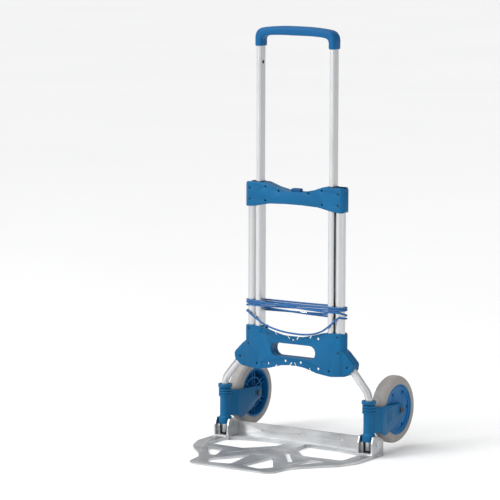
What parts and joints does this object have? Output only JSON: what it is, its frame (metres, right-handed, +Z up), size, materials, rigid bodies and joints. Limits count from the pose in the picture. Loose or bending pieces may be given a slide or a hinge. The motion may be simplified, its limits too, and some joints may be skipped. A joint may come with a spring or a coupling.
{
  "type": "folding luggage cart",
  "caption": "Folding luggage cart with a telescopic pull handle, splayed legs, swivelling wheels, a hinged toe plate and an elastic cord.",
  "frame": {"origin": "underside of the toe plate, midway between the legs and directly below the posts", "axes": "+Z up along the posts, +X to the cart's right seen from the front of the toe plate, -Y out along the toe plate, +Y towards the wheels"},
  "size_m": [0.491, 0.5225, 1.08],
  "materials": {
    "blue_plastic": "satin",
    "aluminium_tube": "satin anodised",
    "cast_aluminium": "brushed",
    "steel_parts": "zinc plated",
    "black_plastic": "matt",
    "rubber": "matt",
    "cord": "woven sheath"
  },
  "bodies": {
    "frame": {"upper_bracket_front": "blue_plastic", "upper_bracket_rear": "blue_plastic", "upper_bracket_screws": "steel_parts", "tube_bushing_left": "black_plastic", "tube_bushing_right": "black_plastic", "guide_tube_left": "aluminium_tube", "guide_tube_right": "aluminium_tube", "outer_tube_left": "aluminium_tube", "outer_tube_right": "aluminium_tube", "button_spring": "steel_parts", "lower_bracket_front": "blue_plastic", "lower_bracket_rear": "blue_plastic", "lower_bracket_screws": "steel_parts", "leg_tube_left": "aluminium_tube", "leg_tube_right": "aluminium_tube", "leg_plug_left": "steel_parts", "leg_plug_right": "steel_parts", "leg_ring_left": "steel_parts", "leg_ring_right": "steel_parts", "elastic_cord": "cord", "cord_ferrule": "steel_parts", "hinge_pin_left": "steel_parts", "hinge_pin_right": "steel_parts"},
    "handle": {"handle_grip": "blue_plastic", "handle_tube_left": "aluminium_tube", "handle_tube_right": "aluminium_tube", "handle_shoe_left": "black_plastic", "handle_shoe_right": "black_plastic", "grip_screws": "steel_parts"},
    "button": {"release_button": "blue_plastic"},
    "lock_left": {"lock_slider_left": "steel_parts"},
    "lock_right": {"lock_slider_right": "steel_parts"},
    "toe": {"toe_plate": "cast_aluminium", "ear_liner_left": "black_plastic", "ear_liner_right": "black_plastic"},
    "fork_left": {"wheel_fork_left": "blue_plastic", "fork_bushes_left": "black_plastic", "axle_bolt_left": "steel_parts", "axle_nut_left": "steel_parts", "axle_washers_left": "steel_parts"},
    "wheel_left": {"wheel_hub_left": "blue_plastic", "wheel_bearings_left": "black_plastic", "tyre_left": "rubber"},
    "fork_right": {"wheel_fork_right": "blue_plastic", "fork_bushes_right": "black_plastic", "axle_bolt_right": "steel_parts", "axle_nut_right": "steel_parts", "axle_washers_right": "steel_parts"},
    "wheel_right": {"wheel_hub_right": "blue_plastic", "wheel_bearings_right": "black_plastic", "tyre_right": "rubber"}
  },
  "joints": [
    {"name": "handle_slide", "type": "slide", "parent": "frame", "child": "handle", "axis": [0, 0, 1], "range_m": [-0.34, 0]},
    {"name": "button_press", "type": "slide", "parent": "frame", "child": "button", "axis": [0, 0, -1], "range_m": [0, 0.005], "stiffness_N_per_m": 400, "springref_m": -0.003, "deforming": ["button_spring"]},
    {"name": "lock_slide_left", "type": "slide", "parent": "frame", "child": "lock_left", "axis": [1, 0, 0], "range_m": [0, 0.005]},
    {"name": "lock_slide_right", "type": "slide", "parent": "frame", "child": "lock_right", "axis": [-1, 0, 0], "range_m": [0, 0.005]},
    {"name": "toe_fold", "type": "hinge", "parent": "frame", "child": "toe", "pos_m": [0, 0, 0.031], "axis": [-1, 0, 0], "range_deg": [0, 90]},
    {"name": "fork_swivel_left", "type": "hinge", "parent": "frame", "child": "fork_left", "pos_m": [-0.217, 0, 0.1], "axis": [0, 0, 1], "range_deg": [-90, 0]},
    {"name": "fork_swivel_right", "type": "hinge", "parent": "frame", "child": "fork_right", "pos_m": [0.217, 0, 0.1], "axis": [0, 0, 1], "range_deg": [0, 90]},
    {"name": "wheel_spin_left", "type": "hinge", "parent": "fork_left", "child": "wheel_left", "pos_m": [-0.217, 0.118, 0.1045], "axis": [1, 0, 0], "continuous": true},
    {"name": "wheel_spin_right", "type": "hinge", "parent": "fork_right", "child": "wheel_right", "pos_m": [0.217, 0.118, 0.1045], "axis": [1, 0, 0], "continuous": true}
  ],
  "couplings": [
    {"joint": "lock_slide_left", "follows": "button_press", "ratio": 1},
    {"joint": "lock_slide_right", "follows": "button_press", "ratio": 1},
    {"joint": "fork_swivel_right", "follows": "toe_fold", "ratio": 1},
    {"joint": "fork_swivel_left", "follows": "toe_fold", "ratio": -1}
  ]
}
